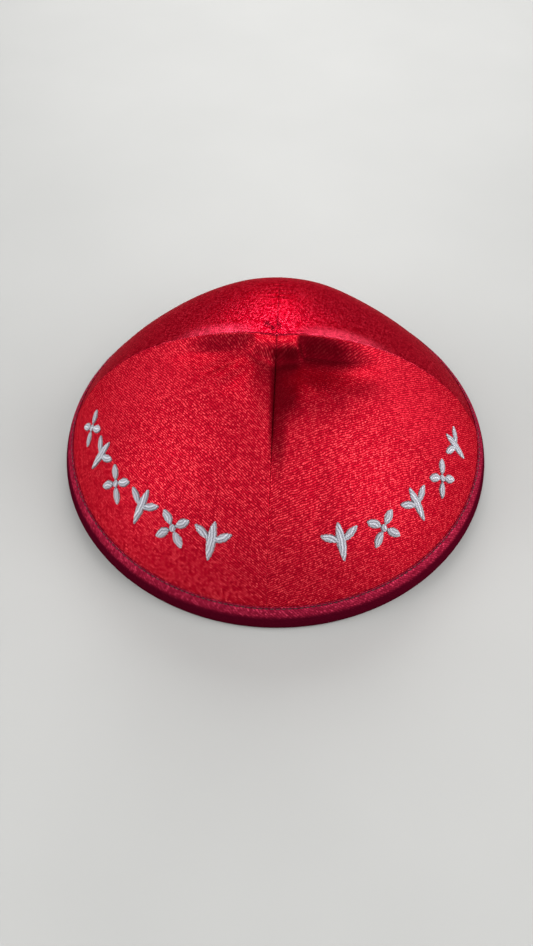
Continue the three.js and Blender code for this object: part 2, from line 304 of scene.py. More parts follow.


# %% [markdown]
# ## Painted shade in the folds and painted highlight on the ridge
# The colour of the cloth is painted almost black where it turns into a deep fold, which is painted
# shade, and far brighter where it lies over the ridge and the shoulders, which is painted highlight.
# A shader can't see the folds, so short tables say where they lie, in millimetres from the crown,
# and each point of the cloth keeps its share of the painted shade and of the painted highlight.

# %% Places of painted shade and painted highlight
# Places of painted shade in the folds and along the front seam.
PAINTED_FOLD_SHADES = [
    {"x": 4.2, "y": -18, "across": 4.6, "down": 15, "turn": 3, "share": 0.95},
    {"x": 2.0, "y": -36, "across": 2.4, "down": 13, "turn": 2, "share": 0.7},
    {"x": 14, "y": -3.8, "across": 16, "down": 5.6, "turn": -7, "share": 0.93},
    {"x": 11, "y": -13.5, "across": 9, "down": 5.5, "turn": -12, "share": 0.5},
    {"x": 11, "y": -15, "across": 13, "down": 13, "turn": 30, "share": 0.5},
    {"x": 15, "y": -23, "across": 13, "down": 12, "turn": 30, "share": 0.28},
    {"x": -17, "y": -2.0, "across": 12, "down": 3.4, "turn": 4, "share": 0.6},
    {"x": 22, "y": -15.5, "across": 15, "down": 6, "turn": -10, "share": 0.5},
    {"x": -15, "y": -12, "across": 14, "down": 7.5, "turn": -6, "share": 0.42},
    {"x": -3, "y": -20, "across": 6, "down": 17, "turn": 0, "share": 0.3},
    {"x": 0, "y": -22, "across": 1.3, "down": 24, "turn": 0, "share": 0.8},
]
# Places of painted highlight: behind the side seams, and on the front shoulders.
RIDGE_PAINTED_SHINES = [
    {"x": -21, "y": 1.4, "across": 11, "down": 4.6, "turn": 0, "share": 0.62},
    {"x": 23, "y": 1.4, "across": 13, "down": 5, "turn": 0, "share": 0.85},
]
SHOULDER_PAINTED_SHINES = [
    {"x": 47, "y": -13, "across": 24, "down": 14, "turn": -14, "share": 0.32},
    {"x": -45, "y": -12, "across": 24, "down": 13, "turn": 12, "share": 0.2},
]
SHADE_CORE = 0.35
SHADE_EDGE = 1.55
KNOT_EDGE = 1.3
SHADE_START = 0.8
SEAM_BLUR = 0.4


def covered_share(places, x, y):
    """0 away from all places of a table, and nearly 1 where its strongest places overlap."""
    left_over = 1
    for place in places:
        turn = math.radians(place["turn"])
        across = (x - place["x"]) * math.cos(turn) + (y - place["y"]) * math.sin(turn)
        down = (y - place["y"]) * math.cos(turn) - (x - place["x"]) * math.sin(turn)
        away = np.sqrt((across / place["across"]) ** 2 + (down / place["down"]) ** 2)
        left_over = left_over * (1 - place["share"] * (1 - smooth(SHADE_CORE, SHADE_EDGE, away)))
    return 1 - left_over


def painted_shade(x, y):
    """Share of painted shade: 0 on the open cloth and 1 where the cloth lies deepest in its own shade.
    """
    beside_knot = smooth(0, KNOT_EDGE, np.abs(x) - KNOT_HALF_WIDTH)
    before_knot = smooth(0, KNOT_EDGE, -y - KNOT_FRONT)
    off_knot = 1 - (1 - beside_knot) * (1 - before_knot)
    return covered_share(PAINTED_FOLD_SHADES, x, y) * smooth(0, SHADE_START, -y) * off_knot


def painted_shine(x, y):
    """Share of painted highlight: 0 on the open cloth and more behind the side seams and on the front
    shoulders, with a clear end at the ridge.
    """
    behind = covered_share(RIDGE_PAINTED_SHINES, x, y) * smooth(-SEAM_BLUR, SEAM_BLUR, y)
    in_front = covered_share(SHOULDER_PAINTED_SHINES, x, y) * smooth(-SEAM_BLUR, SEAM_BLUR, -y)
    return behind + in_front


print(f"shade beside the seam: {painted_shade(np.array([2.0]), np.array([-15.0]))[0]:.2f}")

# %% [markdown]
# ## Cloth that is never quite even
# Smooth satin shows every small unevenness in its shine. A soft noise of a few tenths of a
# millimetre does this. The thread draws the cloth in at the front and side seams, while the back
# seam stands up a little. Near the rim all of it fades out, so that the tape lies smooth.

# %% Unevenness and drawn seams
SEAM_DRAW_DEPTH = 0.35
SEAM_DRAW_WIDTH = 0.55
BACK_SEAM_SHARE = -0.35
PUCKER_DEPTH = 0.1
PUCKER_PERIOD = 4.6
UNEVEN_HEIGHT = 0.22
UNEVEN_CELL = 17
NOISE_CELLS = 64
CALM_START = 0.8
CALM_END = 0.94
NORMAL_STEP = 0.05
DENT_DEPTH = 0.8
TACKING_DENTS = [
    {"x": 0.4, "y": 4.6, "across": 1.0},
    {"x": -3.6, "y": 5.2, "across": 0.9},
    {"x": -1.6, "y": 3.4, "across": 0.7},
]


def soft_noise(x, y, cell, seed):
    """Smooth random heights between -1 and 1 on a square net of the given cell."""
    cells = NOISE_CELLS
    values = np.random.default_rng(seed).uniform(-1, 1, (cells, cells))
    u = x / cell + cells / 2
    v = y / cell + cells / 2
    column = np.floor(u).astype(int) % cells
    row = np.floor(v).astype(int) % cells
    across = smooth(0, 1, u - np.floor(u))
    up = smooth(0, 1, v - np.floor(v))
    near = values[row, column] * (1 - across) + values[row, (column + 1) % cells] * across
    far_row = (row + 1) % cells
    far = values[far_row, column] * (1 - across) + values[far_row, (column + 1) % cells] * across
    return near * (1 - up) + far * up


def seam_relief(x, y):
    """The groove of the four seams, the puckers beside them, and the dents of the tacking."""
    relief = 0 * x
    for dent in TACKING_DENTS:
        away = np.hypot(x - dent["x"], y - dent["y"])
        relief = relief - DENT_DEPTH * bump(away, dent["across"])
    middle_seams = (np.abs(x), y, np.where(y > 0, BACK_SEAM_SHARE, 1))
    side_seams = (np.abs(y), x, 1)
    for beside, along, drawn in (middle_seams, side_seams):
        draw = SEAM_DRAW_DEPTH * drawn
        relief = relief - draw * np.clip(1 - beside / SEAM_DRAW_WIDTH, 0, 1) ** 2
        wave = np.sin(2 * math.pi * along / PUCKER_PERIOD + 2 * np.sin(along / PUCKER_PERIOD))
        relief = relief + PUCKER_DEPTH * wave * np.exp(-beside / PUCKER_PERIOD)
    return relief


def cloth_height(x, y):
    share = np.hypot(x, y) / panel_radius
    relief = sum(fold(x, y) for fold in FOLDS)
    relief = relief + UNEVEN_HEIGHT * soft_noise(x, y, UNEVEN_CELL, seed=4)
    relief = relief + seam_relief(x, y)
    return dome_height(x, y) + relief * (1 - smooth(CALM_START, CALM_END, share))


def cloth_normal(x, y):
    step = NORMAL_STEP
    inner_x = x * (1 - step / panel_radius)
    inner_y = y * (1 - step / panel_radius)
    slope_x = cloth_height(inner_x + step, inner_y) - cloth_height(inner_x - step, inner_y)
    slope_y = cloth_height(inner_x, inner_y + step) - cloth_height(inner_x, inner_y - step)
    normal = np.stack([-slope_x / (2 * step), -slope_y / (2 * step), np.ones_like(slope_x)], -1)
    return normal / np.linalg.norm(normal, axis=-1, keepdims=True)


print(f"crown at {cloth_height(np.array([0.0]), np.array([3.0]))[0]:.1f} mm")

# %% [markdown]
# ## Weave that follows the cut
# A twill line runs straight on the flat cloth, so its direction has to come from the cutting
# pattern and not from the world. Each panel gets a UV map whose two numbers are millimetres on
# the flat piece: along its middle line from the crown, and sideways from that line.

# %% Mesh helpers
def smooth_mesh(name, points, faces):
    mesh = bpy.data.meshes.new(name)
    mesh.from_pydata((points * MM).tolist(), [], faces)
    mesh.polygons.foreach_set("use_smooth", [True] * len(mesh.polygons))
    return mesh


def corner_points(mesh):
    """The number of the point at each corner of each face."""
    points = np.zeros(len(mesh.loops), int)
    mesh.loops.foreach_get("vertex_index", points)
    return points


def add_cloth_map(mesh, flat):
    """Stores flat-cloth millimetres for each corner as the UV map that the weave reads."""
    layer = mesh.uv_layers.new(name="cloth")
    layer.data.foreach_set("uv", flat.astype(np.float32).ravel())


def add_shares(mesh, name, shares):
    """Stores one number for each point, which the shader of the cloth reads."""
    layer = mesh.attributes.new(name, "FLOAT", "POINT")
    layer.data.foreach_set("value", shares.astype(np.float32))


def make_object(name, mesh, *materials):
    thing = bpy.data.objects.new(name, mesh)
    for material in materials:
        mesh.materials.append(material)
    bpy.context.scene.collection.objects.link(thing)
    return thing


# %% Panels as closed slabs
ROWS = 130
COLUMNS = 120
ROW_CROWDING = 0.4
EDGE_DISTANCES = [0, 0.15, 0.35, 0.6, 1.0, 1.6]
EDGE_ANGLE = math.radians(3)
SMALLEST_ROW = 0.1
SEAM_CLEARANCE = 0.02


def panel_angles(radius):
    """Azimuths from a side seam to the front or back seam, with a few close to each seam."""
    near = [min(distance / radius, EDGE_ANGLE * i) for i, distance in enumerate(EDGE_DISTANCES)]
    middle_count = COLUMNS - 2 * len(near) + 2
    middle = np.linspace(near[-1], math.pi / 2 - near[-1], middle_count)
    far = [math.pi / 2 - angle for angle in reversed(near)]
    return np.array(near[:-1] + list(middle) + far[1:])


def panel_plan(side_x, side_y):
    shares = np.linspace(0, 1, ROWS)
    shares = shares * (1 + ROW_CROWDING * (1 - shares))
    radii = SMALLEST_ROW + (panel_radius - SMALLEST_ROW) * shares
    angles = np.array([panel_angles(radius) for radius in radii])
    x = side_x * (SEAM_CLEARANCE + radii[:, None] * np.cos(angles))
    y = side_y * (SEAM_CLEARANCE + radii[:, None] * np.sin(angles))
    return x, y, radii, angles


def slab_mesh(name, outer, inner, flipped):
    """A closed slab between two nets of points: two faces and the four edges between them."""
    rows, columns = outer.shape[:2]
    numbers = np.arange(rows * columns).reshape(rows, columns)
    under = numbers + rows * columns
    quads = []
    for net, turned in ((numbers, flipped), (under, not flipped)):
        corners = [net[:-1, :-1], net[1:, :-1], net[1:, 1:], net[:-1, 1:]]
        corners = corners[::-1] if turned else corners
        quads.append(np.stack(corners, -1).reshape(-1, 4))
    face_count = len(quads[0])
    first_sides = [numbers[0, :-1], numbers[:-1, -1]]
    ring = np.concatenate([*first_sides, numbers[-1, :0:-1], numbers[:0:-1, 0]])
    after = np.roll(ring, -1)
    depth = rows * columns
    edge = [ring, ring + depth, after + depth, after]
    edge = edge if flipped else edge[::-1]
    quads.append(np.stack(edge, -1).reshape(-1, 4))
    points = np.concatenate([outer.reshape(-1, 3), inner.reshape(-1, 3)])
    mesh = smooth_mesh(name, points, np.concatenate(quads).tolist())
    under_side = np.ones(len(mesh.polygons), int)
    under_side[:face_count] = 0
    mesh.polygons.foreach_set("material_index", under_side.tolist())
    return mesh


def panel_mesh(name, side_x, side_y):
    x, y, radii, angles = panel_plan(side_x, side_y)
    outer = np.stack([x, y, cloth_height(x, y)], -1)
    outer[-1, :, 2] = panel_foot
    inward = -cloth_normal(x, y)
    inward[-1] = np.stack([-x[-1], -y[-1], 0 * x[-1]], -1)
    inward[:, 0, 1] = 0
    inward[:, -1, 0] = 0
    inward /= np.linalg.norm(inward, axis=-1, keepdims=True)
    mesh = slab_mesh(name, outer, outer + inward * PANEL_WALL, flipped=side_x * side_y < 0)
    middle = outer[:, COLUMNS // 2]
    steps = np.linalg.norm(np.diff(middle, axis=0), axis=1)
    down_middle = np.concatenate([[0], np.cumsum(steps)])[:, None]
    beside = angles - math.pi / 4
    along = down_middle - radii[:, None] * (1 - np.cos(beside))
    sideways = -side_x * side_y * radii[:, None] * np.sin(beside)
    flat = np.stack([np.ravel(sideways), np.ravel(along)], -1)
    add_cloth_map(mesh, np.concatenate([flat, flat])[corner_points(mesh)])
    # Each point keeps its share of painted shade and of painted highlight.
    for share_name, share_of in (("painted_shade", painted_shade), ("painted_shine", painted_shine)):
        add_shares(mesh, share_name, np.tile(np.ravel(share_of(x, y)), 2))
    return mesh


# %% [markdown]
# ## Satin
# Satin is a weave whose long floats lie on top, so it mirrors light softly and in its own colour.
# A part-metallic shader with a broad roughness does this. Rows of short floats with a sparkle of
# grain are one node group, which the tape uses too with its own values; its brightest specks take a
# painted glint colour. Its places are in millimetres on the flat cloth.

# %% Node helpers
MIX_FIRST = 6
MIX_SECOND = 7
MIX_RESULT = 2


def new_material(name):
    material = bpy.data.materials.new(name)
    material.use_nodes = True
    tree = material.node_tree
    return material, tree, tree.nodes["Principled BSDF"]


def add_math(tree, operation, first, second=None, third=None):
    node = tree.nodes.new("ShaderNodeMath")
    node.operation = operation
    for socket, value in zip(node.inputs, (first, second, third)):
        if value is None:
            continue
        if isinstance(value, (int, float)):
            socket.default_value = value
        else:
            tree.links.new(value, socket)
    return node.outputs[0]


def add_mix(tree, factor, first, second):
    node = tree.nodes.new("ShaderNodeMix")
    node.data_type = "RGBA"
    tree.links.new(factor, node.inputs["Factor"])
    for socket, colour in ((node.inputs[MIX_FIRST], first), (node.inputs[MIX_SECOND], second)):
        if isinstance(colour, tuple):
            socket.default_value = (*colour, 1)
        else:
            tree.links.new(colour, socket)
    return node.outputs[MIX_RESULT]


def add_noise(tree, vector, scale, detail=2.0):
    node = tree.nodes.new("ShaderNodeTexNoise")
    node.inputs["Scale"].default_value = scale
    node.inputs["Detail"].default_value = detail
    tree.links.new(vector, node.inputs["Vector"])
    return node.outputs["Fac"]


def add_range(tree, value, low, high, to_low, to_high):
    node = tree.nodes.new("ShaderNodeMapRange")
    tree.links.new(value, node.inputs["Value"])
    ends = {"From Min": low, "From Max": high, "To Min": to_low, "To Max": to_high}
    for name, number in ends.items():
        node.inputs[name].default_value = number
    return node.outputs["Result"]


def add_bump(tree, shader, height, strength, distance):
    """Lets a height in the shader catch the light, with its full rise in millimetres."""
    node = tree.nodes.new("ShaderNodeBump")
    node.inputs["Strength"].default_value = strength
    node.inputs["Distance"].default_value = distance * MM
    tree.links.new(height, node.inputs["Height"])
    tree.links.new(node.outputs["Normal"], shader.inputs["Normal"])


def add_cloth_place(tree):
    node = tree.nodes.new("ShaderNodeUVMap")
    node.uv_map = "cloth"
    return node.outputs["UV"]


# %% Node group for the weave
WEAVE_DEFAULTS = {"Row pitch": 1.0, "Float length": 1.5, "Row angle": 0.0, "Row depth": 0.6}
DRIFT_SCALE = 0.3
DRIFT_REACH = 1.6
FLOAT_STEP = 0.38
FLOAT_TIP = {"until": 0.6, "height": 0.45}
SPECK_SCALE = 2.6
DIMMEST_SPECK = 0.55
DIMMEST_FLOAT = 0.45
GLINT_FROM = 0.35
GLINT_MOST = 0.9
GLINT_SHARPNESS = 3.0


def add_specks(tree, place):
    """A random brightness for each small cube of cloth."""
    small = tree.nodes.new("ShaderNodeVectorMath")
    small.operation = "SCALE"
    small.inputs["Scale"].default_value = SPECK_SCALE
    tree.links.new(place, small.inputs[0])
    whole = tree.nodes.new("ShaderNodeVectorMath")
    whole.operation = "FLOOR"
    tree.links.new(small.outputs["Vector"], whole.inputs[0])
    specks = tree.nodes.new("ShaderNodeTexWhiteNoise")
    specks.noise_dimensions = "3D"
    tree.links.new(whole.outputs["Vector"], specks.inputs["Vector"])
    return add_range(tree, specks.outputs["Value"], 0, 1, DIMMEST_SPECK, 1)


def add_float_chance(tree, row_number, float_number):
    """A random number for each float."""
    place = tree.nodes.new("ShaderNodeCombineXYZ")
    tree.links.new(row_number, place.inputs["X"])
    tree.links.new(float_number, place.inputs["Y"])
    chance = tree.nodes.new("ShaderNodeTexWhiteNoise")
    chance.noise_dimensions = "2D"
    tree.links.new(place.outputs["Vector"], chance.inputs["Vector"])
    return chance.outputs["Value"]


def add_humps(tree, places):
    """A wave that rises from 0 to 1 and falls again between each whole number and the next."""
    wave = add_math(tree, "SINE", add_math(tree, "MULTIPLY", places, math.pi))
    return add_math(tree, "ABSOLUTE", wave)


def new_weave_tree():
    """An empty node group with the sockets of the weave."""
    tree = bpy.data.node_groups.new("Satin floats", "ShaderNodeTree")
    tree.interface.new_socket(name="Cloth", in_out="INPUT", socket_type="NodeSocketVector")
    for name, default in WEAVE_DEFAULTS.items():
        socket = tree.interface.new_socket(name=name, in_out="INPUT", socket_type="NodeSocketFloat")
        socket.default_value = default
    for name in ("Height", "Gleam", "Glint"):
        tree.interface.new_socket(name=name, in_out="OUTPUT", socket_type="NodeSocketFloat")
    return tree


def build_weave_group():
    """Short shining floats in slanting rows, each float a little brighter or darker."""
    tree = new_weave_tree()
    ins = tree.nodes.new("NodeGroupInput").outputs
    outs = tree.nodes.new("NodeGroupOutput").inputs
    turned = tree.nodes.new("ShaderNodeVectorRotate")
    turned.rotation_type = "Z_AXIS"
    tree.links.new(ins["Cloth"], turned.inputs["Vector"])
    tree.links.new(ins["Row angle"], turned.inputs["Angle"])
    split = tree.nodes.new("ShaderNodeSeparateXYZ")
    tree.links.new(turned.outputs["Vector"], split.inputs["Vector"])
    drift = add_noise(tree, ins["Cloth"], DRIFT_SCALE)
    across = add_math(tree, "MULTIPLY_ADD", drift, DRIFT_REACH, split.outputs["X"])
    rows = add_math(tree, "DIVIDE", across, ins["Row pitch"])
    row_number = add_math(tree, "FLOOR", rows)
    floats = add_math(tree, "DIVIDE", split.outputs["Y"], ins["Float length"])
    floats = add_math(tree, "MULTIPLY_ADD", row_number, FLOAT_STEP, floats)
    float_number = add_math(tree, "FLOOR", floats)
    soft = add_range(tree, add_humps(tree, floats), 0, FLOAT_TIP["until"], FLOAT_TIP["height"], 1)
    body = add_math(tree, "MULTIPLY", add_humps(tree, rows), soft)
    flat = add_math(tree, "SUBTRACT", 1.0, ins["Row depth"])
    body = add_math(tree, "MULTIPLY_ADD", body, ins["Row depth"], flat)
    tree.links.new(body, outs["Height"])
    body = add_math(tree, "MULTIPLY", body, add_specks(tree, ins["Cloth"]))
    chance = add_float_chance(tree, row_number, float_number)
    luck = add_range(tree, chance, 0, 1, DIMMEST_FLOAT, 1)
    tree.links.new(add_math(tree, "MULTIPLY", body, luck), outs["Gleam"])
    # Glint marks the specks that take the painted glint colour.
    rare = add_range(tree, chance, GLINT_FROM, 1, 0, GLINT_MOST)
    peak = add_math(tree, "POWER", body, GLINT_SHARPNESS)
    tree.links.new(add_math(tree, "MULTIPLY", peak, rare), outs["Glint"])
    return tree


weave_group = build_weave_group()
print("weave group has", len(weave_group.nodes), "nodes")


# %% Material of satin
PAINTED_HIGHLIGHT_GLEAM = 0.6
SHADE_RANGE = (0.05, 0.9)
ROUGH_BETWEEN = 0.08
SMOOTH_ON_TOP = 0.06
WEAVE_HEIGHT = 0.12


def add_point_share(tree, name):
    """A share that each point of the cloth keeps."""
    node = tree.nodes.new("ShaderNodeAttribute")
    node.attribute_name = name
    return node.outputs["Fac"]


def satin_material(name, finish):
    material, tree, shader = new_material(name)
    weave = tree.nodes.new("ShaderNodeGroup")
    weave.node_tree = weave_group
    tree.links.new(add_cloth_place(tree), weave.inputs["Cloth"])
    weave.inputs["Row angle"].default_value = math.radians(finish["angle"])
    for name, key in (("Row pitch", "pitch"), ("Float length", "float"), ("Row depth", "row_depth")):
        weave.inputs[name].default_value = finish[key]
    colour = add_mix(tree, weave.outputs["Gleam"], finish["deep"], finish["bright"])
    # The glint colour is a painted glint on the brightest specks.
    colour = add_mix(tree, weave.outputs["Glint"], colour, finish["glint"])
    # Painted highlight over the ridge and shoulders, strongest on the brightest floats.
    shine = add_point_share(tree, "painted_shine")
    shine = add_math(tree, "MULTIPLY", shine, weave.outputs["Gleam"])
    shine = add_range(tree, shine, 0, PAINTED_HIGHLIGHT_GLEAM, 0, 1)
    colour = add_mix(tree, shine, colour, finish["pressed"])
    # Painted shade in the folds, and on the lower part of the tape.
    shade = add_point_share(tree, "painted_shade")
    shade = add_range(tree, shade, *SHADE_RANGE, 0, finish["painted_shade_strength"])
    colour = add_mix(tree, shade, colour, finish["fold"])
    tree.links.new(colour, shader.inputs["Base Color"])
    between = finish["rough"] + ROUGH_BETWEEN
    on_top = finish["rough"] - SMOOTH_ON_TOP
    rough = add_range(tree, weave.outputs["Gleam"], 0, 1, between, on_top)
    tree.links.new(rough, shader.inputs["Roughness"])
    add_bump(tree, shader, weave.outputs["Height"], finish["relief"], WEAVE_HEIGHT)
    shader.inputs["Metallic"].default_value = finish["metallic"]
    shader.inputs["Specular IOR Level"].default_value = 0.0
    shader.inputs["Specular Tint"].default_value = (*finish["bright"], 1)
    return material


# %% Finishes of the satin, its wrong side and the tape
# Each finish holds, besides the cloth's own colours, a painted glint colour for the brightest specks, a
# painted highlight colour for the ridge and shoulders, and a painted shade colour with its strength for
# the folds.
SATIN = {
    "deep": (0.15, 0.0005, 0.005), "bright": (0.80, 0.012, 0.040), "glint": (0.98, 0.12, 0.13),
    "fold": (0.07, 0.0003, 0.003), "painted_shade_strength": 0.92, "pressed": (1.0, 0.025, 0.06),
    "pitch": 0.74, "float": 0.62, "row_depth": 0.95, "relief": 0.5,
    "rough": 0.45, "metallic": 0.45,
}
WRONG_SIDE = {
    "deep": (0.12, 0.002, 0.006), "bright": (0.22, 0.006, 0.016), "glint": (0.3, 0.01, 0.03),
    "fold": (0.10, 0.002, 0.006), "painted_shade_strength": 0.0, "pressed": (0.22, 0.006, 0.016),
    "rough": 0.85, "metallic": 0.0, "pitch": 0.8, "float": 0.8, "row_depth": 0.4, "relief": 0.4,
    "angle": 45,
}
# On the tape, the painted shade colour darkens the stitch line and the lower part, which turns away from
# the light.
TAPE_SATIN = {
    "deep": (0.10, 0.002, 0.011), "bright": (0.40, 0.016, 0.052), "glint": (0.6, 0.05, 0.11),
    "fold": (0.052, 0.001, 0.008), "painted_shade_strength": 0.95, "pressed": (0.40, 0.016, 0.052),
    "rough": 0.5, "metallic": 0.3, "pitch": 0.8, "float": 0.9, "row_depth": 0.7, "relief": 0.4,
    "angle": 45,
}
# The back panels are a darker copy of the same satin: their darker colours are painted shade on the
# flanks, with their own painted glint and painted highlight colours, and a glossier finish.
BACK_SHADED_COPY = {
    "rough": 0.35, "metallic": 0.7, "pitch": 0.68, "relief": 0.4,
    "deep": (0.07, 0.0003, 0.003), "bright": (0.66, 0.008, 0.038), "glint": (1.0, 0.09, 0.15),
    "pressed": (1.0, 0.085, 0.16),
}
PANEL_FINISHES = {
    "panel_front_left": {"angle": 91},
    "panel_front_right": {"angle": 106},
    "panel_back_left": {"angle": 100, **BACK_SHADED_COPY},
    "panel_back_right": {"angle": 102, **BACK_SHADED_COPY},
}
satin = {
    panel: satin_material("red satin " + panel, {**SATIN, **finish})
    for panel, finish in PANEL_FINISHES.items()
}
satin_back = satin_material("satin wrong side", WRONG_SIDE)
tape_satin = satin_material("burgundy tape", TAPE_SATIN)
print("cloth materials:", len(satin) + 2)

# %% Make the four panels
PANELS = {
    "panel_front_left": (-1, -1),
    "panel_front_right": (1, -1),
    "panel_back_left": (-1, 1),
    "panel_back_right": (1, 1),
}
panels = {}
for node_name, (side_x, side_y) in PANELS.items():
    mesh = panel_mesh("satin_" + node_name, side_x, side_y)
    piece = make_object("satin_" + node_name, mesh, satin[node_name], satin_back)
    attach(piece, "root")
    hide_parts(node_name)
    panels[node_name] = piece
    print(piece.name, len(mesh.polygons), "faces")

# %% [markdown]
# ## Flat size of the panels
# Each panel is cut as a curved triangle from a rectangle as wide as a quarter of the rim and as
# long as the way from rim to crown, with a little more for the seams. The area of one side of a
# modelled panel is printed.

both_sides = sum(polygon.area for polygon in panels["panel_front_left"].data.polygons)
print(f"one side of a panel: {both_sides / 2 / MM**2:.0f} square mm")

# %% [markdown]
# ## Rim tape
# The rim is bound with a strip cut on the bias, folded in half over the edge and sewn through.
# Its section is worked out once along the dome's edge and swept round the rim, so it always lies
# on the satin. The stitches press its upper edge down, and the cloth bulges between them.

# %% Places along the dome's edge
TAPE_WIDTH = 8.6
TAPE_TURNS = 720
STITCH_COUNT = 260
STITCH_INSET = 0.55
EDGE_BAND = 0.2
EDGE_STEPS = 400
EDGE_CROWDING = 1.5
LOOK_AHEAD = 0.2


def edge_places(azimuths, distances):
    """Radius, height and outward direction at distances up the cloth from its lower edge."""
    shares = 1 - np.linspace(0, EDGE_BAND, EDGE_STEPS) ** EDGE_CROWDING
    radii = panel_radius * shares
    turned = azimuths[:, None]
    heights = cloth_height(radii * np.cos(turned), radii * np.sin(turned))
    heights[:, 0] = panel_foot
    steps = np.hypot(np.diff(heights, axis=1), np.diff(radii)[None, :])
    travelled = np.concatenate([np.zeros((len(azimuths), 1)), np.cumsum(steps, axis=1)], axis=1)
    found = []
    for row in range(len(azimuths)):
        radius = np.interp(distances, travelled[row], radii)
        height = np.interp(distances, travelled[row], heights[row])
        ahead = np.interp(distances + LOOK_AHEAD, travelled[row], radii)
        above = np.interp(distances + LOOK_AHEAD, travelled[row], heights[row])
        out = np.stack([above - height, radius - ahead], -1)
        out /= np.linalg.norm(out, axis=-1, keepdims=True)
        out[distances <= 0] = (1, 0)
        found.append((radius, height, out))
    return found


# %% Section of the tape, swept round the rim
# The shade column is painted shade: darker along the stitch line and on the lower part of the tape,
# which turns away from the light.
TAPE_OUTSIDE = [
    {"up": 1.0, "proud": 0.12, "puff": 0, "shade": 0},
    {"up": 0.995, "proud": 0.36, "puff": 0.5, "shade": 0},
    {"up": 0.965, "proud": 0.42, "puff": 0.8, "shade": 0.3},
    {"up": 0.935, "proud": 0.3, "puff": 0, "shade": 0.9},
    {"up": 0.9, "proud": 0.52, "puff": 1, "shade": 0.1},
    {"up": 0.82, "proud": 0.82, "puff": 0.9, "shade": 0},
    {"up": 0.72, "proud": 1.05, "puff": 0.5, "shade": 0},
    {"up": 0.63, "proud": 1.18, "puff": 0.1, "shade": 0.1},
    {"up": 0.53, "proud": 1.25, "puff": 0, "shade": 0.7},
    {"up": 0.4, "proud": 1.28, "puff": 0, "shade": 1},
    {"up": 0.2, "proud": 1.3, "puff": 0, "shade": 1},
    {"up": 0.08, "proud": 1.3, "puff": 0, "shade": 1},
    {"up": 0.0, "proud": 1.3, "puff": 0, "shade": 1},
]
SLOT_SIDE = 0.06
INSIDE_SHARE = 0.75
FOLD_POINTS = 11
FOLD_FULLNESS = 1.12
SLOT_DEPTH = 0.9
STITCH_BULGE = 0.16
WAVE_BULGE = 0.08
WAVES_ROUND = 37
SLOW_WAVES_ROUND = 5


def tape_outline(place, bulge):
    """Closed outline of radii and heights: outside, fold, inside, then back along the cloth."""
    radius, height, out = place
    ups = np.array([row["up"] for row in TAPE_OUTSIDE])
    proud = np.array([row["proud"] + bulge * row["puff"] for row in TAPE_OUTSIDE])
    base = np.stack([radius, height], -1)
    outside = base + out * proud[:, None]
    inside = base - out * (PANEL_WALL + proud * INSIDE_SHARE)[:, None]
    hug_out = base + out * SLOT_SIDE
    hug_in = base - out * (PANEL_WALL + SLOT_SIDE)
    left = inside[-1][0]
    right = outside[-1][0]
    middle = (left + right) / 2
    half = (right - left) / 2
    turn = np.linspace(0, math.pi, FOLD_POINTS)[1:-1]
    fold_radius = middle + half * np.cos(turn)
    fold_height = np.maximum(panel_foot * (1 - np.sin(turn) * FOLD_FULLNESS), 0)
    fold = np.stack([fold_radius, fold_height], -1)
    slot = np.array([
        [base[-1][0] - PANEL_WALL - SLOT_SIDE, panel_foot - SLOT_SIDE],
        [base[-1][0] + SLOT_SIDE, panel_foot - SLOT_SIDE],
    ])
    keep = ups < SLOT_DEPTH
    return np.concatenate([
        outside, fold, inside[::-1], hug_in[keep], slot, hug_out[keep][::-1],
    ])


def tape_map(corner, net):
    """Flat tape millimetres for each corner of each face, also where the round closes."""
    turns, corners = net.shape[:2]
    round_girth = np.linalg.norm(np.diff(net[0], axis=0, append=net[0][:1]), axis=-1)
    across = np.concatenate([[0], np.cumsum(round_girth)[:-1]])
    face = np.repeat(np.arange(turns * corners), 4)
    turn_of = corner // corners
    point_of = corner % corners
    closes_round = (face // corners == turns - 1) & (turn_of == 0)
    closes_girth = (face % corners == corners - 1) & (point_of == 0)
    turn_of = np.where(closes_round, turns, turn_of)
    girth = np.where(closes_girth, round_girth.sum(), across[point_of])
    return np.stack([turn_of * 2 * math.pi * panel_radius / turns, girth], -1)


def tape_mesh(name):
    azimuths = np.linspace(0, 2 * math.pi, TAPE_TURNS, endpoint=False)
    distances = np.array([row["up"] for row in TAPE_OUTSIDE]) * TAPE_WIDTH
    phase = azimuths * STITCH_COUNT / 2
    wave = np.sin(azimuths * WAVES_ROUND + 2 * np.sin(azimuths * SLOW_WAVES_ROUND))
    bulges = STITCH_BULGE * np.abs(np.sin(phase)) + WAVE_BULGE * wave
    rows = []
    for azimuth, place, bulge in zip(azimuths, edge_places(azimuths, distances), bulges):
        line = tape_outline(place, bulge)
        turned = [line[:, 0] * math.cos(azimuth), line[:, 0] * math.sin(azimuth), line[:, 1]]
        rows.append(np.stack(turned, -1))
    net = np.array(rows)
    turns, corners = net.shape[:2]
    numbers = np.arange(turns * corners).reshape(turns, corners)
    next_turn = np.roll(numbers, -1, axis=0)
    quads = [numbers, np.roll(numbers, -1, axis=1), np.roll(next_turn, -1, axis=1), next_turn]
    mesh = smooth_mesh(name, net.reshape(-1, 3), np.stack(quads, -1).reshape(-1, 4).tolist())
    add_cloth_map(mesh, tape_map(corner_points(mesh), net))
    # Each point of the tape keeps its share of painted shade; the fold and the inside get the full
    # share.
    shade = np.ones(corners)
    shade[:len(TAPE_OUTSIDE)] = [row["shade"] for row in TAPE_OUTSIDE]
    add_shares(mesh, "painted_shade", np.tile(shade, turns))
    return mesh


tape = make_object("bias_tape", tape_mesh("bias_tape"), tape_satin)
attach(tape, "root")
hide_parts("rim_binding")
print("tape:", len(tape.data.polygons), "faces")

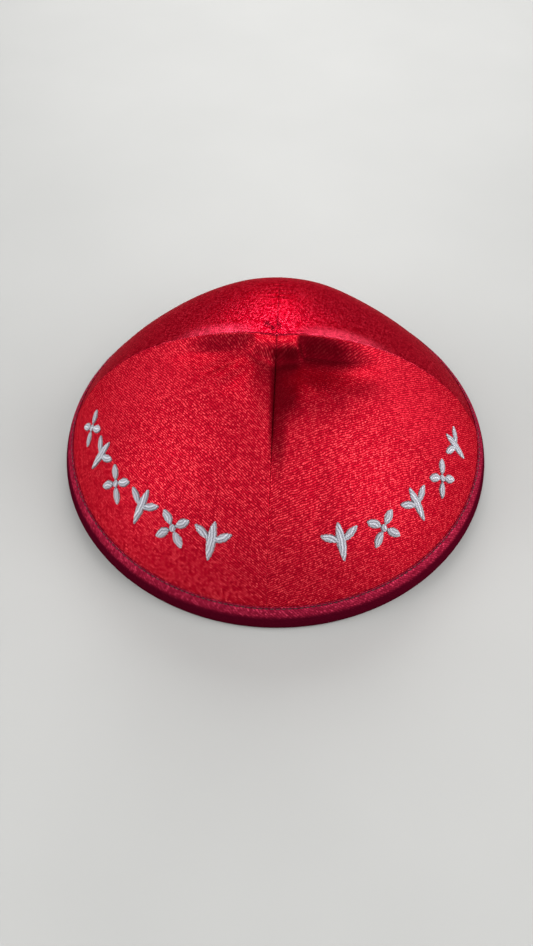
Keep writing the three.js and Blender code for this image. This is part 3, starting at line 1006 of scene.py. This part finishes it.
# %% [markdown]
# ## Thread
# A stitch is a short round thread that rises from the cloth and dives back. Hundreds of them are
# made as one mesh: each is the same tube bent along its own short path. A curve object for each
# would look the same, but it would be slow and would need a bevel at render time.

# %% Tubes along many short paths
TUBE_SIDES = 6
TUBE_END = 0.35


def tube_points(path, normal, radius):
    """Rings of points round one path, narrower at its two ends."""
    ahead = np.gradient(path, axis=0)
    ahead /= np.linalg.norm(ahead, axis=-1, keepdims=True)
    side = np.cross(ahead, normal)
    side /= np.linalg.norm(side, axis=-1, keepdims=True)
    up = np.cross(side, ahead)
    width = np.full(len(path), radius)
    width[[0, -1]] *= TUBE_END
    turn = np.linspace(0, 2 * math.pi, TUBE_SIDES, endpoint=False)
    ring = side[:, None] * np.cos(turn)[:, None] + up[:, None] * np.sin(turn)[:, None]
    return (path[:, None] + ring * width[:, None, None]).reshape(-1, 3)


def tubes_mesh(name, paths, normals, radius):
    """One mesh of round tubes. Each path is a list of points, with a normal for each point."""
    points = []
    faces = []
    along_map = []
    count = 0
    for path, normal in zip(paths, normals):
        steps = len(path)
        points.append(tube_points(path, normal, radius))
        numbers = np.arange(steps * TUBE_SIDES).reshape(steps, TUBE_SIDES) + count
        around = np.roll(numbers, -1, axis=1)
        body = np.stack([numbers[:-1], around[:-1], around[1:], numbers[1:]], -1).reshape(-1, 4)
        faces.extend(body.tolist())
        faces.append(numbers[0][::-1].tolist())
        faces.append(numbers[-1].tolist())
        step_lengths = np.linalg.norm(np.diff(path, axis=0), axis=1)
        length = np.concatenate([[0], np.cumsum(step_lengths)])
        along_map.append(np.repeat(length, TUBE_SIDES))
        count += steps * TUBE_SIDES
    mesh = smooth_mesh(name, np.concatenate(points), faces)
    corner = corner_points(mesh)
    round_tube = (corner % TUBE_SIDES) / TUBE_SIDES
    add_cloth_map(mesh, np.stack([np.concatenate(along_map)[corner], round_tube], -1))
    return mesh


# %% Thread material
TWISTS_PER_MM = 1.1
PATCH_SCALE = 0.8
TWIST_SHARE = 0.22
TWIST_RANGE = (0.2, 0.8)
TWIST_STRENGTH = 0.5
TWIST_HEIGHT = 0.05
ROUGH_IN_GROOVE = 0.1
SMOOTH_ON_STRAND = 0.05


def thread_material(name, deep, bright, roughness, metallic):
    """Twisted thread: slanting dark lines round a shiny strand."""
    material, tree, shader = new_material(name)
    place = add_cloth_place(tree)
    split = tree.nodes.new("ShaderNodeSeparateXYZ")
    tree.links.new(place, split.inputs["Vector"])
    turns = add_math(tree, "MULTIPLY_ADD", split.outputs["X"], TWISTS_PER_MM, split.outputs["Y"])
    twist = add_math(tree, "SINE", add_math(tree, "MULTIPLY", turns, 2 * math.pi))
    patch = add_noise(tree, place, PATCH_SCALE)
    shade = add_math(tree, "MULTIPLY_ADD", twist, TWIST_SHARE, patch)
    shade = add_range(tree, shade, *TWIST_RANGE, 0, 1)
    tree.links.new(add_mix(tree, shade, deep, bright), shader.inputs["Base Color"])
    in_groove = roughness + ROUGH_IN_GROOVE
    rough = add_range(tree, shade, 0, 1, in_groove, roughness - SMOOTH_ON_STRAND)
    tree.links.new(rough, shader.inputs["Roughness"])
    add_bump(tree, shader, twist, TWIST_STRENGTH, TWIST_HEIGHT)
    shader.inputs["Metallic"].default_value = metallic
    return material


SILVER = {"deep": (0.19, 0.195, 0.23), "bright": (0.58, 0.58, 0.64), "roughness": 0.35, "metallic": 0.25}
DARK = {"deep": (0.03, 0.002, 0.006), "bright": (0.09, 0.004, 0.014), "roughness": 0.5, "metallic": 0.0}
silver_thread = thread_material("silver thread", **SILVER)
dark_thread = thread_material("dark thread", **DARK)
print("thread materials:", silver_thread.name, "and", dark_thread.name)


# %% Stitches along the tape
STITCH_REACH = 0.36
STITCH_POINTS = 7
STITCH_LIFT = 0.42
STITCH_ARCH = 0.16
STITCH_DIVE = 0.1
STITCH_RADIUS = 0.16


def tape_stitch_paths():
    pitch = 2 * math.pi / STITCH_COUNT
    reach = np.linspace(-STITCH_REACH, STITCH_REACH, STITCH_POINTS)
    middles = np.arange(STITCH_COUNT) * pitch
    azimuths = (middles[:, None] + reach[None, :] * pitch).ravel()
    distances = np.array([TAPE_WIDTH - STITCH_INSET])
    rise = STITCH_LIFT + STITCH_ARCH * (1 - (reach / reach[-1]) ** 2)
    rise[[0, -1]] = STITCH_DIVE
    lifts = np.tile(rise, STITCH_COUNT)
    paths = []
    normals = []
    for azimuth, place, lift in zip(azimuths, edge_places(azimuths, distances), lifts):
        radius, height, out = place[0][0], place[1][0], place[2][0]
        flat = radius + out[0] * lift
        paths.append([flat * math.cos(azimuth), flat * math.sin(azimuth), height + out[1] * lift])
        normals.append([out[0] * math.cos(azimuth), out[0] * math.sin(azimuth), out[1]])
    shape = (STITCH_COUNT, len(reach), 3)
    return np.array(paths).reshape(shape), np.array(normals).reshape(shape)


stitch_mesh = tubes_mesh("tape_stitches", *tape_stitch_paths(), radius=STITCH_RADIUS)
stitches = make_object("tape_stitches", stitch_mesh, dark_thread)
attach(stitches, "root")
print("tape stitches:", STITCH_COUNT)

# %% [markdown]
# ## Thread ornament
# A machine embroiders a leaf by laying threads side by side from edge to edge, which is called
# satin stitch. So each leaf here is a fan of thread tubes, and a flower or a sprig is a few
# leaves. The motifs stand in a row above the rim, and each is laid on the cloth from its own
# flat drawing.

# %% Leaves, flowers and sprigs
THREAD_SPACING = 0.36
THREAD_RADIUS = 0.2
FLOWER_HEART = 1.3
THREAD_POINTS = 7
LEAF_ROUNDNESS = 0.65
LEAF_SLANT = 0.15
UNEVEN_END = 0.12
THREAD_SINK = 0.12
ARCH_LEAST = 0.32
ARCH_GROWTH = 0.09
ARCH_LONGEST = 3
PETAL_TURNS = (45, 135, 225, 315)
FLOWER = [{"turn": turn, "start": FLOWER_HEART, "length": 5.6, "width": 3.4} for turn in PETAL_TURNS]
SPRIG = [
    {"turn": 90, "start": -6.0, "length": 13.5, "width": 3.5},
    {"turn": 38, "start": 1.0, "length": 6.8, "width": 3.0},
    {"turn": 142, "start": 1.0, "length": 6.8, "width": 3.0},
]
ORNAMENT_ROWS = [
    {"first": -15.5, "last": -74.0, "count": 6},
    {"first": 20.0, "last": 72.0, "count": 5},
]
ORNAMENT_SHARE = 0.84
ornament_noise = np.random.default_rng(11)


def leaf_threads(leaf):
    """Flat threads across one leaf, each from its left edge to its right edge."""
    turn = math.radians(leaf["turn"])
    forward = np.array([math.cos(turn), math.sin(turn)])
    side = np.array([-forward[1], forward[0]])
    count = int(leaf["length"] / THREAD_SPACING)
    threads = []
    for place in (np.arange(count) + 0.5) / count:
        half = leaf["width"] / 2 * math.sin(math.pi * place) ** LEAF_ROUNDNESS
        ends = half + ornament_noise.uniform(-UNEVEN_END, UNEVEN_END, 2)
        middle = forward * (leaf["start"] + leaf["length"] * place)
        across = side + forward * LEAF_SLANT
        threads.append((middle - across * ends[0], middle + across * ends[1]))
    return threads


def heart_threads(radius):
    """Flat threads side by side that fill the small disc in the middle of a flower."""
    count = int(2 * radius / THREAD_SPACING)
    threads = []
    for place in (np.arange(count) + 0.5) / count * 2 - 1:
        half = radius * math.sqrt(1 - place * place)
        threads.append((np.array([-half, place * radius]), np.array([half, place * radius])))
    return threads


def lay_on_cloth(flat, azimuth, share, lift):
    """Puts flat drawing points on the dome round one spot, the drawing's up towards the crown."""
    spot = np.array([math.sin(azimuth), -math.cos(azimuth)]) * panel_radius * share
    normal = cloth_normal(spot[:1], spot[1:])[0]
    outward = np.array([spot[0], spot[1], 0]) / np.linalg.norm(spot)
    sideways = np.cross([0, 0, 1], outward)
    up = np.cross(normal, sideways)
    place = spot[None, :] + flat[:, :1] * sideways[None, :2] + flat[:, 1:] * up[None, :2]
    x, y = place[:, 0], place[:, 1]
    normals = cloth_normal(x, y)
    points = np.stack([x, y, cloth_height(x, y)], -1) + normals * lift[:, None]
    return points, normals


def motif_paths(kind, azimuth):
    leaves = FLOWER if kind == "flower" else SPRIG
    threads = [thread for leaf in leaves for thread in leaf_threads(leaf)]
    if kind == "flower":
        threads += heart_threads(FLOWER_HEART)
    steps = np.linspace(0, 1, THREAD_POINTS)
    arch = np.sqrt(np.clip(1 - (2 * steps - 1) ** 2, 0, 1))
    paths = []
    normals = []
    for start, end in threads:
        flat = start[None, :] + (end - start)[None, :] * steps[:, None]
        length = np.linalg.norm(end - start)
        lift = arch * (ARCH_LEAST + min(length, ARCH_LONGEST) * ARCH_GROWTH) - THREAD_SINK
        points, normal = lay_on_cloth(flat, azimuth, ORNAMENT_SHARE, lift)
        paths.append(points)
        normals.append(normal)
    return paths, normals


# %% Sew the ornament on the front panels
for row, side_name in zip(ORNAMENT_ROWS, ("left", "right")):
    paths = []
    normals = []
    spots = np.linspace(row["first"], row["last"], row["count"])
    for number, spot in enumerate(spots):
        kind = "sprig" if number % 2 == 0 else "flower"
        more_paths, more_normals = motif_paths(kind, math.radians(spot))
        paths += more_paths
        normals += more_normals
    name = "ornament_" + side_name
    ornament = make_object(name, tubes_mesh(name, paths, normals, THREAD_RADIUS), silver_thread)
    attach(ornament, "root")
    print(name, len(paths), "threads")

# %% [markdown]
# ## Floor and light
# The cap stands on a plain pale surface between soft lamps. Those on both sides light the front
# panels, a weak one in front fills the shade, and one behind gives the crown its shine. A single
# lamp above would be simpler, but the satin would then shine in one spot only.

# %% Pale floor
FLOOR_SIZE = 3.0
FLOOR_DROP = 0.0002
FLOOR_DARK = (0.33, 0.335, 0.33)
FLOOR_PALE = (0.385, 0.39, 0.385)
FLOOR_ROUGHNESS = 0.6
FLOOR_PATCHES = {"scale": 9.0, "detail": 3.0}
floor_material, floor_tree, floor_shader = new_material("pale floor")
floor_place = floor_tree.nodes.new("ShaderNodeTexCoord").outputs["Object"]
floor_patches = add_noise(floor_tree, floor_place, **FLOOR_PATCHES)
floor_colour = add_mix(floor_tree, floor_patches, FLOOR_DARK, FLOOR_PALE)
floor_tree.links.new(floor_colour, floor_shader.inputs["Base Color"])
floor_shader.inputs["Roughness"].default_value = FLOOR_ROUGHNESS
floor_mesh = bpy.data.meshes.new("floor")
half = FLOOR_SIZE / 2
floor_corners = [(-half, -half), (half, -half), (half, half), (-half, half)]
floor_mesh.from_pydata([(x, y, -FLOOR_DROP) for x, y in floor_corners], [], [(0, 1, 2, 3)])
floor = make_object("floor", floor_mesh, floor_material)


# %% Soft lamps
LAMPS = [
    {"name": "right", "place": (0.9, -0.1, 0.8), "wide": 0.7, "tall": 0.7, "power": 9.0},
    {"name": "left", "place": (-0.9, -0.1, 0.8), "wide": 0.7, "tall": 0.7, "power": 6.8},
    {"name": "right_low", "place": (1.0, -0.45, 0.4), "wide": 0.7, "tall": 0.5, "power": 6.0},
    {"name": "left_low", "place": (-1.0, -0.45, 0.4), "wide": 0.7, "tall": 0.5, "power": 5.0},
    {"name": "front", "place": (0.0, -0.8, 0.9), "wide": 0.8, "tall": 0.6, "power": 3.8},
    {"name": "back", "place": (0.0, 1.05, 0.75), "wide": 0.8, "tall": 0.5, "power": 13.0},
]
LAMP_COLOUR = (1.0, 0.985, 0.97)


def area_lamp(lamp):
    lamp_data = bpy.data.lights.new(lamp["name"], "AREA")
    lamp_data.shape = "RECTANGLE"
    lamp_data.size = lamp["wide"]
    lamp_data.size_y = lamp["tall"]
    lamp_data.energy = lamp["power"]
    lamp_data.color = LAMP_COLOUR
    thing = bpy.data.objects.new(lamp["name"], lamp_data)
    thing.location = lamp["place"]
    thing.rotation_euler = (-thing.location).to_track_quat("-Z", "Y").to_euler()
    bpy.context.scene.collection.objects.link(thing)


for lamp in LAMPS:
    area_lamp(lamp)


# %% Even light from the room
ROOM_STRENGTH = 0.26
ROOM_COLOUR = (0.97, 0.98, 1.0, 1)


def build_world():
    world = bpy.data.worlds.new("room")
    world.use_nodes = True
    background = world.node_tree.nodes["Background"]
    background.inputs["Color"].default_value = ROOM_COLOUR
    background.inputs["Strength"].default_value = ROOM_STRENGTH
    bpy.context.scene.world = world


build_world()
